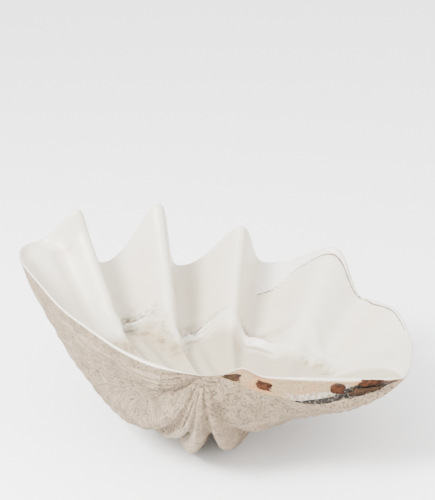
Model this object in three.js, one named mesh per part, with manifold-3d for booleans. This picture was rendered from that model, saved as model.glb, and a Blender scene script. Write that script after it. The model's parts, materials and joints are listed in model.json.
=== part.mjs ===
// Giant clam shell: one left valve of Tridacna gigas, lying on its ribbed outer side with the bowl up.
//
// The valve is built the way it grew. Every growth stage is the margin curve made smaller by s and turned
// about the hinge axis, so the ribs and folds run back to the beak on logarithmic spirals:
//   sheet(u, s) = s * turn(-ln(s) / GROWTH_RATE) * margin(u)
// u runs along the margin, from the beak round the front, the far edge and the back end to the hinge end.
// The outer surface stands off that sheet by the wall, and the bowl's floor leaves it for the hinge line.
//
// Growth frame: origin at the beak, +X along the hinge line, +Y across the bowl, +Z up out of the bowl.
// The last step tilts the valve into the pose it rests in, with its origin under the middle of it on z = 0,
// and wears the two ribs that it stands on flat.

import * as THREE from "three";
import { mergeVertices } from "three/addons/utils/BufferGeometryUtils.js";
import Module from "manifold-3d";

// Driving dimensions, in millimetres and degrees.
const HINGE_LENGTH = 310;
const GROWTH_RATE = 1.09; // natural log of size lost per radian of turn about the hinge axis
const YOUNGEST_STAGE = 0.05; // size of the first growth stage that is modelled, as a share of the whole
const RIM_THICKNESS = 7;
const WALL_GAIN = 1.7; // how far the wall swells between the margin and the beak
const FOLD_SHARPNESS = 1.26; // over 1 makes the channels broad and the ridges between them narrow
const SMOOTH_STAGE = 0.08; // up to this growth stage the folds are worn off the outer side
const FOLDED_STAGE = 0.4; // from this growth stage on the outer side has its folds in full
const BEAK_WEAR = 10; // depth worn off the outer side beside the beak
const BEAK_WEAR_AT = 70; // middle of that wear along the hinge line
const BEAK_WEAR_LENGTH = 55;
const BEAK_WEAR_WIDTH = 45;
const FLOOR_STAGE = 0.76; // growth stage at which the bowl's floor leaves the sheet
const FLOOR_FADE_FRONT = 6; // nodes from the beak over which the floor takes its full place
const FLOOR_FADE_BACK = 4; // nodes from the hinge end over which it does
const FLOOR_LEAVE = 0.32; // how far the floor keeps the sheet's direction, as a share of its run
const FLOOR_ARRIVE = 0.16; // how far it stands off the hinge line where it comes up to it
const FLOOR_SAG = 0.31; // how far it hangs below the hinge line there
const HINGE_CROWDING = 2; // over 1 crowds the floor's columns toward the beak
const KNOB_AT = 0.19; // middle of the knob on the hinge line, as a share of the hinge
const KNOB_LENGTH = 0.075;
const KNOB_REACH = 14; // how far the knob stands into the bowl
const KNOB_RISE = 9;
const TOOTH_AT = 0.3; // place of the hinge tooth across the hinge plate
const TOOTH_RISE = 0.07;
const GROOVE_AT = 0.68; // place of the ligament groove across the hinge plate
const GROOVE_DEPTH = 0.1;
const REST_PITCH = -0.4;
const REST_ROLL = 2.7;
const REST_WEAR = 2.2; // depth worn off the ribs that the valve stands on
const REMNANT_GAP = 0.8; // clearance between a scrap of dried ligament and the hinge plate
const REMNANT_EDGE = 0.3; // a scrap's thickness at its edge, as a share of its height
const REMNANT_DOME = 0.6; // what its middle adds to that
const REMNANT_RIPPLE = 0.1; // what its unevenness adds
const REMNANT_SKEW = 0.12; // how far its ends wander along the hinge, as a share of its length

// Mesh density.
const STEPS_PER_NODE = 4;
const OUTER_ROWS = 26;
const ROW_CROWDING = 1.3; // over 1 crowds the outer side's rows toward the beak
const SHEET_ROWS = 8;
const FLOOR_ROWS = 10;
const REMNANT_ALONG = 8;
const REMNANT_ACROSS = 6;
const FLOOR_STEP = 0.01; // growth step that gives the direction in which the floor leaves the sheet

// Margin nodes in order. bearing is about the beak, from the hinge end (0) to the front (180); reach is the
// distance from the beak; height is above the hinge line; wall is the thickness behind that node.
const MARGIN = [
  { name: "beak", bearing: 180, reach: 0, height: 0, wall: 0 },
  { name: "front edge 1", bearing: 166.7, reach: 90, height: 12, wall: 28 },
  { name: "front edge 2", bearing: 152, reach: 199, height: 27, wall: 28 },
  { name: "front edge 3", bearing: 144, reach: 313, height: 42, wall: 28 },
  { name: "front edge 4", bearing: 139, reach: 410, height: 62, wall: 30 },
  { name: "front corner", bearing: 131.4, reach: 537, height: 57, wall: 31 },
  { name: "channel 0", bearing: 126, reach: 573, height: 54, wall: 29 },
  { name: "ridge 1", bearing: 118.5, reach: 536, height: 117, wall: 8 },
  { name: "channel 1", bearing: 113.4, reach: 540, height: 3, wall: 18 },
  { name: "ridge 2", bearing: 102, reach: 526, height: 113, wall: 12 },
  { name: "channel 2", bearing: 97.8, reach: 545, height: -18, wall: 40 },
  { name: "ridge 3", bearing: 85, reach: 502, height: 75, wall: 6 },
  { name: "channel 3", bearing: 80, reach: 538, height: -7, wall: 44 },
  { name: "ridge 4", bearing: 63.3, reach: 474, height: 62, wall: 8 },
  { name: "channel 4", bearing: 54, reach: 457, height: -15, wall: 24 },
  { name: "back end 1", bearing: 43.4, reach: 436, height: -6, wall: 28 },
  { name: "back end 2", bearing: 34, reach: 407, height: -21, wall: 35 },
  { name: "back end 3", bearing: 19.2, reach: 352, height: -13, wall: 50 },
  { name: "hinge end", bearing: 0, reach: HINGE_LENGTH, height: 0, wall: 48 },
];

// Scraps of dried ligament left on the hinge plate. along is the share of the hinge from the beak, across is
// the share of the plate from its inner edge, and height is the scrap's thickness.
const REMNANTS = [
  { name: "ligament_scrap_beak", along: [0.09, 0.185], across: [0.38, 0.86], height: 3, color: 0x4a3627 },
  { name: "ligament_scrap_front", along: [0.26, 0.34], across: [0.4, 0.82], height: 4.5, color: 0x7a4a2c },
  { name: "ligament_scrap_middle", along: [0.645, 0.71], across: [0.26, 0.54], height: 4.5, color: 0x6e3320 },
  { name: "ligament_scrap_back", along: [0.79, 0.9], across: [0.07, 0.31], height: 4, color: 0x6b4a33 },
  { name: "ligament_crust", along: [0.745, 0.9], across: [0.38, 0.62], height: 3, color: 0x4c4540 },
];

const LAST_NODE = MARGIN.length - 1;
const COLUMNS = LAST_NODE * STEPS_PER_NODE;

const isRidge = (node) => MARGIN[node].name.startsWith("ridge");
const isFold = (node) => isRidge(node) || MARGIN[node].name.startsWith("channel");
const smooth = (f) => f * f * (3 - 2 * f);
const bell = (x) => Math.exp(-(x ** 2));

/** Slope of one margin value at a node: level at crests and channels, running through elsewhere. */
function slopeAt(key, node) {
  if (key !== "bearing" && isFold(node)) {
    return 0;
  }
  const before = Math.max(node - 1, 0);
  const after = Math.min(node + 1, LAST_NODE);
  return (MARGIN[after][key] - MARGIN[before][key]) / (after - before);
}

/** One margin value between its nodes. */
function marginValue(key, u) {
  const node = Math.min(Math.floor(u), LAST_NODE - 1);
  const f = u - node;
  const from = MARGIN[node][key];
  const to = MARGIN[node + 1][key];
  const folded = isRidge(node) || isRidge(node + 1);
  if (folded && key !== "bearing") {
    const towardRidge = isRidge(node + 1) ? f : 1 - f;
    const weight = ((1 - Math.cos(Math.PI * towardRidge)) / 2) ** FOLD_SHARPNESS;
    return isRidge(node + 1) ? from + (to - from) * weight : to + (from - to) * weight;
  }
  const f2 = f * f;
  const f3 = f2 * f;
  return (
    from * (2 * f3 - 3 * f2 + 1) +
    to * (3 * f2 - 2 * f3) +
    slopeAt(key, node) * (f3 - 2 * f2 + f) +
    slopeAt(key, node + 1) * (f3 - f2)
  );
}

/** Point of the margin curve. */
function margin(u) {
  const bearing = THREE.MathUtils.degToRad(marginValue("bearing", u));
  const reach = marginValue("reach", u);
  return new THREE.Vector3(reach * Math.cos(bearing), reach * Math.sin(bearing), marginValue("height", u));
}

/** Margin with its folds evened out, for where they have filled up with shell or worn away. */
function evenedMargin(u) {
  const fold = Math.min(1, u, LAST_NODE - u);
  return margin(u - fold).add(margin(u + fold)).addScaledVector(margin(u), 2).multiplyScalar(1 / 4);
}

/** Outward direction of a plain spiral cone, with no folds, at one bearing of the margin. */
function outward(u) {
  const bearing = THREE.MathUtils.degToRad(marginValue("bearing", u));
  const lean = Math.sin(bearing) / GROWTH_RATE;
  return new THREE.Vector3(lean * Math.cos(bearing), lean * Math.sin(bearing), -1).normalize();
}

/** Takes a point of the margin back to growth stage s. */
function atStage(point, s) {
  const turn = new THREE.Matrix4().makeRotationX(Math.log(s) / GROWTH_RATE);
  return point.applyMatrix4(turn).multiplyScalar(s);
}

const sheetPoint = (u, s) => atStage(margin(u), s);

/** Point of the outer side: off the sheet by the wall, with the folds and the beak worn. */
function outerPoint(u, s) {
  const folded = smooth(THREE.MathUtils.clamp((s - SMOOTH_STAGE) / (FOLDED_STAGE - SMOOTH_STAGE), 0, 1));
  const rim = RIM_THICKNESS * smooth(Math.min(u, 1));
  const thickness = rim + marginValue("wall", u) * WALL_GAIN * (1 - s ** 4);
  const curve = evenedMargin(u).lerp(margin(u), folded);
  const point = atStage(curve.addScaledVector(outward(u), thickness), s);
  point.z -= BEAK_WEAR * bell((point.x - BEAK_WEAR_AT) / BEAK_WEAR_LENGTH) * bell(point.y / BEAK_WEAR_WIDTH);
  return point;
}

/** Point of the hinge line at a share of its length, with the knob that stands into the bowl. */
function hingePoint(share) {
  const knob = bell((share - KNOB_AT) / KNOB_LENGTH);
  return new THREE.Vector3(HINGE_LENGTH * share, KNOB_REACH * knob, KNOB_RISE * knob);
}

/** How much of the sheet the bowl keeps before its floor begins: none at the beak and the hinge end. */
function floorStage(u) {
  const fromBeak = smooth(Math.min(u / FLOOR_FADE_FRONT, 1));
  const fromHingeEnd = smooth(Math.min((LAST_NODE - u) / FLOOR_FADE_BACK, 1));
  return 1 - (1 - FLOOR_STAGE) * fromBeak * fromHingeEnd;
}

/** Where the column of the bowl's floor at u meets the hinge line, as a share of the hinge's length. */
const hingeShare = (u) => (1 - marginValue("bearing", u) / 180) ** HINGE_CROWDING;

/** Point of the bowl: on the sheet from the margin to the floor, then along a sagging curve to the hinge. */
function bowlPoint(u, row) {
  const start = floorStage(u);
  if (row <= SHEET_ROWS) {
    return sheetPoint(u, 1 - (1 - start) * (row / SHEET_ROWS));
  }
  const from = sheetPoint(u, start);
  const evened = atStage(evenedMargin(u), start);
  const inward = atStage(evenedMargin(u), start - FLOOR_STEP).sub(evened).normalize();
  const to = hingePoint(hingeShare(u));
  const run = evened.distanceTo(to);
  const leave = evened.addScaledVector(inward, run * FLOOR_LEAVE);
  const arrive = to.clone().add(new THREE.Vector3(0, run * FLOOR_ARRIVE, -run * FLOOR_SAG));
  const curve = new THREE.CubicBezierCurve3(from, leave, arrive, to);
  return curve.getPoint((row - SHEET_ROWS) / FLOOR_ROWS);
}

/** Gathers vertices and triangles of one closed surface. */
class Surface {
  constructor() {
    this.positions = [];
    this.triangles = [];
  }

  vertex(point) {
    this.positions.push(point.x, point.y, point.z);
    return this.positions.length / 3 - 1;
  }

  triangle(a, b, c) {
    if (a !== b && b !== c && c !== a) {
      this.triangles.push(a, b, c);
    }
  }

  quad(a, b, c, d) {
    this.triangle(a, b, c);
    this.triangle(a, c, d);
  }

  /** Quads between two rows of vertices of the same count. */
  strip(rowA, rowB) {
    for (let i = 0; i + 1 < rowA.length; i += 1) {
      this.quad(rowA[i], rowB[i], rowB[i + 1], rowA[i + 1]);
    }
  }

  /** Triangles between two rows of different counts, matched by the share each vertex has of its row. */
  zip(rowA, shareA, rowB, shareB) {
    let a = 0;
    let b = 0;
    while (a + 1 < rowA.length || b + 1 < rowB.length) {
      const stepA = b + 1 >= rowB.length || (a + 1 < rowA.length && shareA[a + 1] >= shareB[b + 1]);
      if (stepA) {
        this.triangle(rowA[a], rowA[a + 1], rowB[b]);
        a += 1;
      } else {
        this.triangle(rowA[a], rowB[b + 1], rowB[b]);
        b += 1;
      }
    }
  }

  geometry() {
    const geometry = new THREE.BufferGeometry();
    geometry.setAttribute("position", new THREE.Float32BufferAttribute(this.positions, 3));
    geometry.setIndex(this.triangles);
    geometry.computeVertexNormals();
    return geometry;
  }
}

/** Height of the hinge plate's surface at a share across it: tooth, ligament groove, then the outer edge. */
function plateProfile(across) {
  const points = [[0, 0], [TOOTH_AT, TOOTH_RISE], [GROOVE_AT, -GROOVE_DEPTH], [1, 0]];
  const next = Math.max(points.findIndex(([at]) => at >= across), 1);
  const [fromAt, fromRise] = points[next - 1];
  const [toAt, toRise] = points[next];
  return THREE.MathUtils.mapLinear(across, fromAt, toAt, fromRise, toRise);
}

/** Point of the hinge plate at growth stage s, raised off its surface by lift. */
function platePoint(s, across, lift = 0) {
  const inner = hingePoint(s);
  const width = outerPoint(LAST_NODE, s).sub(inner);
  const face = width.clone().cross(new THREE.Vector3(1, 0, 0)).normalize();
  const rise = plateProfile(across) * width.length() + lift;
  return inner.addScaledVector(width, across).addScaledVector(face, rise);
}

function valveGeometry() {
  const surface = new Surface();
  const us = Array.from({ length: COLUMNS + 1 }, (_, i) => i / STEPS_PER_NODE);
  const stages = Array.from({ length: OUTER_ROWS + 1 }, (_, j) => {
    return YOUNGEST_STAGE + (1 - YOUNGEST_STAGE) * (1 - j / OUTER_ROWS) ** ROW_CROWDING;
  });

  const beak = surface.vertex(new THREE.Vector3(0, 0, 0));
  const hingeEnd = surface.vertex(new THREE.Vector3(HINGE_LENGTH, 0, 0));

  // Outer side, from the margin to the youngest stage, then a cap over the beak.
  const outerRows = stages.map((s) => us.map((u, i) => (i === 0 ? beak : surface.vertex(outerPoint(u, s)))));
  for (let j = 0; j < OUTER_ROWS; j += 1) {
    surface.strip(outerRows[j + 1], outerRows[j]);
  }
  const youngest = outerRows[OUTER_ROWS];
  for (let i = 1; i < COLUMNS; i += 1) {
    surface.triangle(beak, youngest[i], youngest[i + 1]);
  }

  // Bowl side, from the margin to the hinge line. Its first and last columns are single points.
  const bowlRows = [];
  for (let row = 0; row <= SHEET_ROWS + FLOOR_ROWS; row += 1) {
    bowlRows.push(us.map((u, i) => {
      if (i === 0) {
        return beak;
      }
      return i === COLUMNS ? hingeEnd : surface.vertex(bowlPoint(u, row));
    }));
  }
  surface.strip(outerRows[0], bowlRows[0]);
  for (let row = 0; row + 1 < bowlRows.length; row += 1) {
    surface.strip(bowlRows[row], bowlRows[row + 1]);
  }

  // Hinge plate: tooth, ligament groove, then the outer side's back edge.
  const stations = us.map(hingeShare);
  const hingeLine = bowlRows[bowlRows.length - 1];
  const plateRow = (across) => stations.map((s, i) => {
    return i === 0 ? beak : surface.vertex(platePoint(s, across));
  });
  const tooth = plateRow(TOOTH_AT);
  const groove = plateRow(GROOVE_AT);
  surface.strip(hingeLine, tooth);
  surface.strip(tooth, groove);
  const backEdge = outerRows.map((row) => row[COLUMNS]);
  surface.triangle(hingeEnd, tooth[COLUMNS], backEdge[0]);
  surface.triangle(tooth[COLUMNS], groove[COLUMNS], backEdge[0]);
  surface.zip([...groove].reverse(), [...stations].reverse(), [...backEdge, beak], [...stages, 0]);
  return surface.geometry();
}

/** A thin scrap lying on the hinge plate, domed and uneven, with its underside clear of the plate. */
function remnantGeometry({ along, across, height }) {
  const surface = new Surface();
  const length = along[1] - along[0];
  const row = (b, lift) => Array.from({ length: REMNANT_ALONG + 1 }, (_, i) => {
    const a = i / REMNANT_ALONG;
    const s = along[0] + length * (a + REMNANT_SKEW * Math.sin(7 * b));
    return surface.vertex(platePoint(s, THREE.MathUtils.lerp(across[0], across[1], b), lift(a, b)));
  });
  const layer = (lift) => Array.from({ length: REMNANT_ACROSS + 1 }, (_, j) => row(j / REMNANT_ACROSS, lift));
  const dome = (a, b) => Math.sqrt(Math.sin(Math.PI * a) * Math.sin(Math.PI * b));
  const ripple = (a, b) => Math.sin(9 * a + 5 * b);
  const under = layer(() => REMNANT_GAP);
  const top = layer((a, b) => {
    const share = REMNANT_EDGE + REMNANT_DOME * dome(a, b) + REMNANT_RIPPLE * ripple(a, b);
    return REMNANT_GAP + height * share;
  });
  for (let j = 0; j < REMNANT_ACROSS; j += 1) {
    surface.strip(under[j + 1], under[j]);
    surface.strip(top[j], top[j + 1]);
  }
  const column = (rows, i) => rows.map((line) => line[i]);
  surface.strip(under[0], top[0]);
  surface.strip(top[REMNANT_ACROSS], under[REMNANT_ACROSS]);
  surface.strip(column(top, 0), column(under, 0));
  surface.strip(column(under, REMNANT_ALONG), column(top, REMNANT_ALONG));
  return surface.geometry();
}

/** Matrix from the growth frame to the pose the valve rests in, origin under the middle of its box. */
function restingMatrix(geometry) {
  const pitch = new THREE.Matrix4().makeRotationX(THREE.MathUtils.degToRad(REST_PITCH));
  const matrix = new THREE.Matrix4().makeRotationY(THREE.MathUtils.degToRad(REST_ROLL)).multiply(pitch);
  const posed = geometry.clone().applyMatrix4(matrix);
  posed.computeBoundingBox();
  const middle = posed.boundingBox.getCenter(new THREE.Vector3());
  const drop = posed.boundingBox.min.z + REST_WEAR;
  return new THREE.Matrix4().makeTranslation(-middle.x, -middle.y, -drop).multiply(matrix);
}

const wasm = await Module();
wasm.setup();

function toManifold(geometry) {
  const vertProperties = new Float32Array(geometry.attributes.position.array);
  const triVerts = new Uint32Array(geometry.index.array);
  return new wasm.Manifold(new wasm.Mesh({ numProp: 3, vertProperties, triVerts }));
}

/** Takes everything below z = 0 off a geometry, which leaves flats where the ribs reached under it. */
function wearFlat(geometry) {
  const DEPTH = 20;
  const floor = new THREE.BoxGeometry(2000, 2000, DEPTH).translate(0, 0, -DEPTH / 2);
  floor.deleteAttribute("normal");
  floor.deleteAttribute("uv");
  const worn = toManifold(geometry).subtract(toManifold(mergeVertices(floor))).getMesh();
  const result = new THREE.BufferGeometry();
  result.setAttribute("position", new THREE.BufferAttribute(worn.vertProperties, 3));
  result.setIndex(new THREE.BufferAttribute(worn.triVerts, 1));
  result.computeVertexNormals();
  return result;
}

function piece(name, geometry, color, roughness) {
  const material = new THREE.MeshStandardMaterial({ color, roughness, metalness: 0 });
  const mesh = new THREE.Mesh(geometry, material);
  mesh.name = name;
  return mesh;
}

const clamShell = new THREE.Group();
const grown = valveGeometry();
const resting = restingMatrix(grown);
clamShell.add(piece("valve", wearFlat(grown.applyMatrix4(resting)), 0xe9e2d6, 0.5));
for (const remnant of REMNANTS) {
  clamShell.add(piece(remnant.name, remnantGeometry(remnant).applyMatrix4(resting), remnant.color, 0.85));
}

export default clamShell;
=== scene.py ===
"""Giant clam shell: one left valve lying bowl up, with scraps of dried ligament on its hinge plate.

The valve is laid out on the growth law that the solid follows: every earlier growth stage is the
margin curve made smaller and turned about the hinge axis. Grids are shaped onto the outer side, the
rim, the bowl and the hinge plate, given the relief that years of growth leave, and joined into one
closed body.
"""
import json
import math

import bmesh
import bpy
import numpy as np
from bpy.props import FloatProperty, FloatVectorProperty, PointerProperty
from mathutils import Matrix, Vector, noise

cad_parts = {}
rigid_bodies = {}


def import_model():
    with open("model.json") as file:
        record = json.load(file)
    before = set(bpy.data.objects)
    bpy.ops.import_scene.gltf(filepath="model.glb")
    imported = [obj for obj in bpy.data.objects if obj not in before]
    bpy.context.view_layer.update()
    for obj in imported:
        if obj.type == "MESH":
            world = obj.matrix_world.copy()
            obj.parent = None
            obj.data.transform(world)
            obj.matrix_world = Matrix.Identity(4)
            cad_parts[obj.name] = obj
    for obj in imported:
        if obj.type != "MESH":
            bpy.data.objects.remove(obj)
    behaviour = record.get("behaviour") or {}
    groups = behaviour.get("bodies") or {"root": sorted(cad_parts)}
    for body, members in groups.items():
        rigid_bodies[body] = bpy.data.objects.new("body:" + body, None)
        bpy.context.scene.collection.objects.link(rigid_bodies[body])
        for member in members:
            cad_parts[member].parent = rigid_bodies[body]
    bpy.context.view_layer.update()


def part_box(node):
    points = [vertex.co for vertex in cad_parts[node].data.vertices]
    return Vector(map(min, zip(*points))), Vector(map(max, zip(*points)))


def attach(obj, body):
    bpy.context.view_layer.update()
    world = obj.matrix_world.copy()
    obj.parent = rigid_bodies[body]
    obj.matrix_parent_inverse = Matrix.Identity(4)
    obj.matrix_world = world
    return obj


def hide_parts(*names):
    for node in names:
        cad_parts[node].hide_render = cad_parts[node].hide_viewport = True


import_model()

bl_info = {
    "name": "Giant clam shell",
    "version": (1, 0, 0),
    "blender": (4, 5, 0),
    "location": "View3D > Sidebar > Shell",
    "description": "Builds a giant clam valve with its relief, finish and studio stage",
    "category": "Object",
}

MM = 0.001
MERGE_DISTANCE = 0.00001

# Growth law, the same as the solid's. Lengths are in millimetres until a point is placed.
HINGE_LENGTH = 310.0
GROWTH_RATE = 1.09
YOUNGEST_STAGE = 0.05
RIM_THICKNESS = 7.0
WALL_GAIN = 1.7
FOLD_SHARPNESS = 1.26
# Growth stages between which the outer folds come out of the evened beak.
SMOOTH_STAGE = 0.08
FOLDED_STAGE = 0.4
# The beak's crown is worn down: how far, where along the hinge, half length and half width.
BEAK_WEAR = 10.0
BEAK_WEAR_AT = 70.0
BEAK_WEAR_LENGTH = 55.0
BEAK_WEAR_WIDTH = 45.0
# The bowl's floor: the stage at which it leaves the sheet, the margin nodes over which that rises to
# one at each end, and the curve's pull at both ends and its sag as shares of its run.
FLOOR_STAGE = 0.76
FLOOR_FADE_FRONT = 6
FLOOR_FADE_BACK = 4
FLOOR_LEAVE = 0.32
FLOOR_ARRIVE = 0.16
FLOOR_SAG = 0.31
# The knob of the hinge line: its place and half length as shares of the hinge, its reach and rise.
KNOB_AT = 0.19
KNOB_LENGTH = 0.075
KNOB_REACH = 14.0
KNOB_RISE = 9.0
# The folds fade out on the floor by this power of what is left of the way, slower under a ridge.
CHANNEL_FADING = 12.0
RIDGE_FADING = 4.0
# Where the front corner's fold is evened out: margin place, half width and how far.
CORNER_AT = 6.1
CORNER_HALF = 0.8
CORNER_EVENING = 0.9
# Bowl rows: so many on the folded sheet, then so many on the floor.
SHEET_ROWS = 8.0
FLOOR_ROWS = 10.0
REST_PITCH = math.radians(-0.4)
REST_ROLL = math.radians(2.7)

# Margin nodes: bearing about the beak in degrees, reach, height, wall behind the node, what it is.
MARGIN = [
    (180.0, 0, 0, 0, "beak"),
    (166.7, 90, 12, 28, "edge"),
    (152.0, 199, 27, 28, "edge"),
    (144.0, 313, 42, 28, "edge"),
    (139.0, 410, 62, 30, "edge"),
    (131.4, 537, 57, 31, "edge"),
    (126.0, 573, 54, 29, "channel"),
    (118.5, 536, 117, 8, "ridge"),
    (113.4, 540, 3, 18, "channel"),
    (102.0, 526, 113, 12, "ridge"),
    (97.8, 545, -18, 40, "channel"),
    (85.0, 502, 75, 6, "ridge"),
    (80.0, 538, -7, 44, "channel"),
    (63.3, 474, 62, 8, "ridge"),
    (54.0, 457, -15, 24, "channel"),
    (43.4, 436, -6, 28, "edge"),
    (34.0, 407, -21, 35, "edge"),
    (19.2, 352, -13, 50, "edge"),
    (0.0, 310, 0, 48, "edge"),
]
LAST = len(MARGIN) - 1
BEARING, REACH, HEIGHT, WALL = 0, 1, 2, 3
NODES = np.array([node[:4] for node in MARGIN], float)
IS_RIDGE = np.array([node[4] == "ridge" for node in MARGIN])
IS_FOLD = np.array([node[4] in ("ridge", "channel") for node in MARGIN])

# Grid density. The rim and the hinge plate are the same count across: they meet at the hinge's end.
COLUMNS = LAST * 18
OUTER_ROWS = 120
CAP_ROWS = 5
BOWL_ROWS = 132
ACROSS_ROWS = 24
ROW_CROWDING = 1.3
# Bowl rows in one unit of growth, for the growth lines that cross the bowl.
ROWS_PER_GROWTH = 40
# Share of the bowl's mesh rows against the bowl row they lie on: the lip gets more of them.
BOWL_ROW_SPREAD = [(0.0, 0.0), (0.2, 4.0), (0.3, 6.4), (0.72, 11.0), (1.0, 18.0)]


# ---------------------------------------------------------------- growth law

def smooth(f):
    f = np.clip(f, 0.0, 1.0)
    return f * f * (3.0 - 2.0 * f)


def bump(x, middle, width):
    """Bell curve, one at its middle."""
    return np.exp(-((x - middle) / width) ** 2)


def margin_slopes(key):
    slopes = np.zeros(LAST + 1)
    for node in range(LAST + 1):
        if key != BEARING and IS_FOLD[node]:
            continue
        before, after = max(node - 1, 0), min(node + 1, LAST)
        slopes[node] = (NODES[after, key] - NODES[before, key]) / (after - before)
    return slopes


SLOPES = [margin_slopes(key) for key in (BEARING, REACH, HEIGHT, WALL)]


def margin_value(key, u):
    """One margin value between its nodes: folds swing from channel to ridge, the rest runs smoothly."""
    node = np.clip(np.floor(u).astype(int), 0, LAST - 1)
    f = u - node
    start, end = NODES[node, key], NODES[node + 1, key]
    f2, f3 = f * f, f * f * f
    plain = (start * (2 * f3 - 3 * f2 + 1) + end * (3 * f2 - 2 * f3)
             + SLOPES[key][node] * (f3 - 2 * f2 + f)
             + SLOPES[key][node + 1] * (f3 - f2))
    if key == BEARING:
        return plain
    toward = np.clip(np.where(IS_RIDGE[node + 1], f, 1 - f), 0, 1)
    weight = ((1 - np.cos(np.pi * toward)) / 2) ** FOLD_SHARPNESS
    rising, falling = start + (end - start) * weight, end + (start - end) * weight
    folded = np.where(IS_RIDGE[node + 1], rising, falling)
    return np.where(IS_RIDGE[node] | IS_RIDGE[node + 1], folded, plain)


def margin(u):
    bearing = np.radians(margin_value(BEARING, u))
    reach = margin_value(REACH, u)
    return np.stack([reach * np.cos(bearing), reach * np.sin(bearing), margin_value(HEIGHT, u)], -1)


def evened_margin(u):
    """Margin with its folds averaged out, where they have filled up with shell or worn away."""
    fold = np.minimum(np.minimum(1.0, u), LAST - u)
    return (margin(u - fold) + 2 * margin(u) + margin(u + fold)) / 4


def outward(u):
    """Outward direction of a plain spiral cone, with no folds."""
    bearing = np.radians(margin_value(BEARING, u))
    lean = np.sin(bearing) / GROWTH_RATE
    way = np.stack([lean * np.cos(bearing), lean * np.sin(bearing), -np.ones_like(lean)], -1)
    return way / np.linalg.norm(way, axis=-1, keepdims=True)


def at_stage(points, s):
    """Takes points of the margin back to growth stage s."""
    turn = np.log(s) / GROWTH_RATE
    c, t = np.cos(turn), np.sin(turn)
    x, y, z = points[..., 0], points[..., 1], points[..., 2]
    return np.stack([x, y * c - z * t, y * t + z * c], -1) * np.asarray(s)[..., None]


def ridge_share(u):
    """One on a ridge, nought in a channel."""
    node = np.clip(np.floor(u).astype(int), 0, LAST - 1)
    f = (1 - np.cos(np.pi * np.clip(u - node, 0, 1))) / 2
    return IS_RIDGE[node] * (1 - f) + IS_RIDGE[node + 1] * f


def sheet_point(u, s):
    return at_stage(margin(u), s)


def outer_point(u, s):
    rim = RIM_THICKNESS * smooth(np.minimum(u, 1))
    thickness = rim + margin_value(WALL, u) * WALL_GAIN * (1 - s ** 4)
    folded = smooth((s - SMOOTH_STAGE) / (FOLDED_STAGE - SMOOTH_STAGE))[..., None]
    curve = evened_margin(u) * (1 - folded) + margin(u) * folded
    points = at_stage(curve + outward(u) * thickness[..., None], s)
    points[..., 2] -= (BEAK_WEAR * bump(points[..., 0], BEAK_WEAR_AT, BEAK_WEAR_LENGTH)
                       * bump(points[..., 1], 0.0, BEAK_WEAR_WIDTH))
    return points


def hinge_point(share):
    """Point of the hinge line, with the knob that stands into the bowl."""
    knob = bump(share, KNOB_AT, KNOB_LENGTH)
    return np.stack([HINGE_LENGTH * share, KNOB_REACH * knob, KNOB_RISE * knob], -1)


def floor_stage(u):
    return 1 - (1 - FLOOR_STAGE) * smooth(u / FLOOR_FADE_FRONT) * smooth((LAST - u) / FLOOR_FADE_BACK)


def hinge_share(u):
    return (1 - margin_value(BEARING, u) / 180) ** 2


def bowl_point(u, row):
    """Point of the bowl: on the sheet down to the floor, then on a sagging curve to the hinge."""
    start = floor_stage(u)
    stage = 1 - (1 - start) * np.minimum(row / SHEET_ROWS, 1)
    on_sheet = sheet_point(u, stage)
    leaving = sheet_point(u, start)
    even = evened_margin(u)
    evened = at_stage(even, start)
    inward = at_stage(even, start - 0.01) - evened
    inward /= np.linalg.norm(inward, axis=-1, keepdims=True) + 1e-9
    hinge = hinge_point(hinge_share(u))
    run = np.linalg.norm(hinge - evened, axis=-1, keepdims=True)
    first = evened + inward * run * FLOOR_LEAVE
    second = hinge + np.concatenate([0 * run, run * FLOOR_ARRIVE, -run * FLOOR_SAG], -1)
    t = np.clip((row - SHEET_ROWS) / FLOOR_ROWS, 0, 1)[..., None]
    on_floor = (evened * (1 - t) ** 3 + 3 * first * t * (1 - t) ** 2
                + 3 * second * t * t * (1 - t) + hinge * t ** 3)
    fading = (1 - t) ** (CHANNEL_FADING + (RIDGE_FADING - CHANNEL_FADING) * ridge_share(u)[..., None])
    corner = CORNER_EVENING * bump(u, CORNER_AT, CORNER_HALF) * smooth((row - 0.2) / 1.5)
    corner = corner[..., None]
    on_sheet = on_sheet * (1 - corner) + at_stage(even, stage) * corner
    on_floor = on_floor + (leaving - evened) * fading + (evened - leaving) * corner * fading
    return np.where((row <= SHEET_ROWS)[..., None], on_sheet, on_floor)


def resting_placement():
    """Turn, and shift in metres, from the growth law's own frame to where the valve rests."""
    cp, sp = math.cos(REST_PITCH), math.sin(REST_PITCH)
    cr, sr = math.cos(REST_ROLL), math.sin(REST_ROLL)
    roll = np.array([[cr, 0, sr], [0, 1, 0], [-sr, 0, cr]])
    pitch = np.array([[1, 0, 0], [0, cp, -sp], [0, sp, cp]])
    turn = roll @ pitch
    u, s = np.meshgrid(np.linspace(0, LAST, LAST * 4 + 1), np.linspace(1, YOUNGEST_STAGE, 60))
    points = np.concatenate([outer_point(u, s).reshape(-1, 3), margin(u[0])]) @ turn.T * MM
    low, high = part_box("valve")
    shift = (np.array(low) + high - points.min(axis=0) - points.max(axis=0)) / 2
    shift[2] = high[2] - points[:, 2].max()
    return turn, shift


REST_TURN, REST_SHIFT = resting_placement()


def placed(points):
    return points @ REST_TURN.T * MM + REST_SHIFT


# ---------------------------------------------------------------- relief

def field(points, scale, octaves=3, seed=0.0):
    """Fractal noise, about -1 to 1, at points in metres. scale is how many swells a metre has."""
    offset = Vector((seed, seed * 1.7, -seed * 0.6))
    values = [noise.fractal(Vector(p) * scale + offset, 1.0, 2.0, octaves) for p in points]
    return np.array(values)


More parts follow.
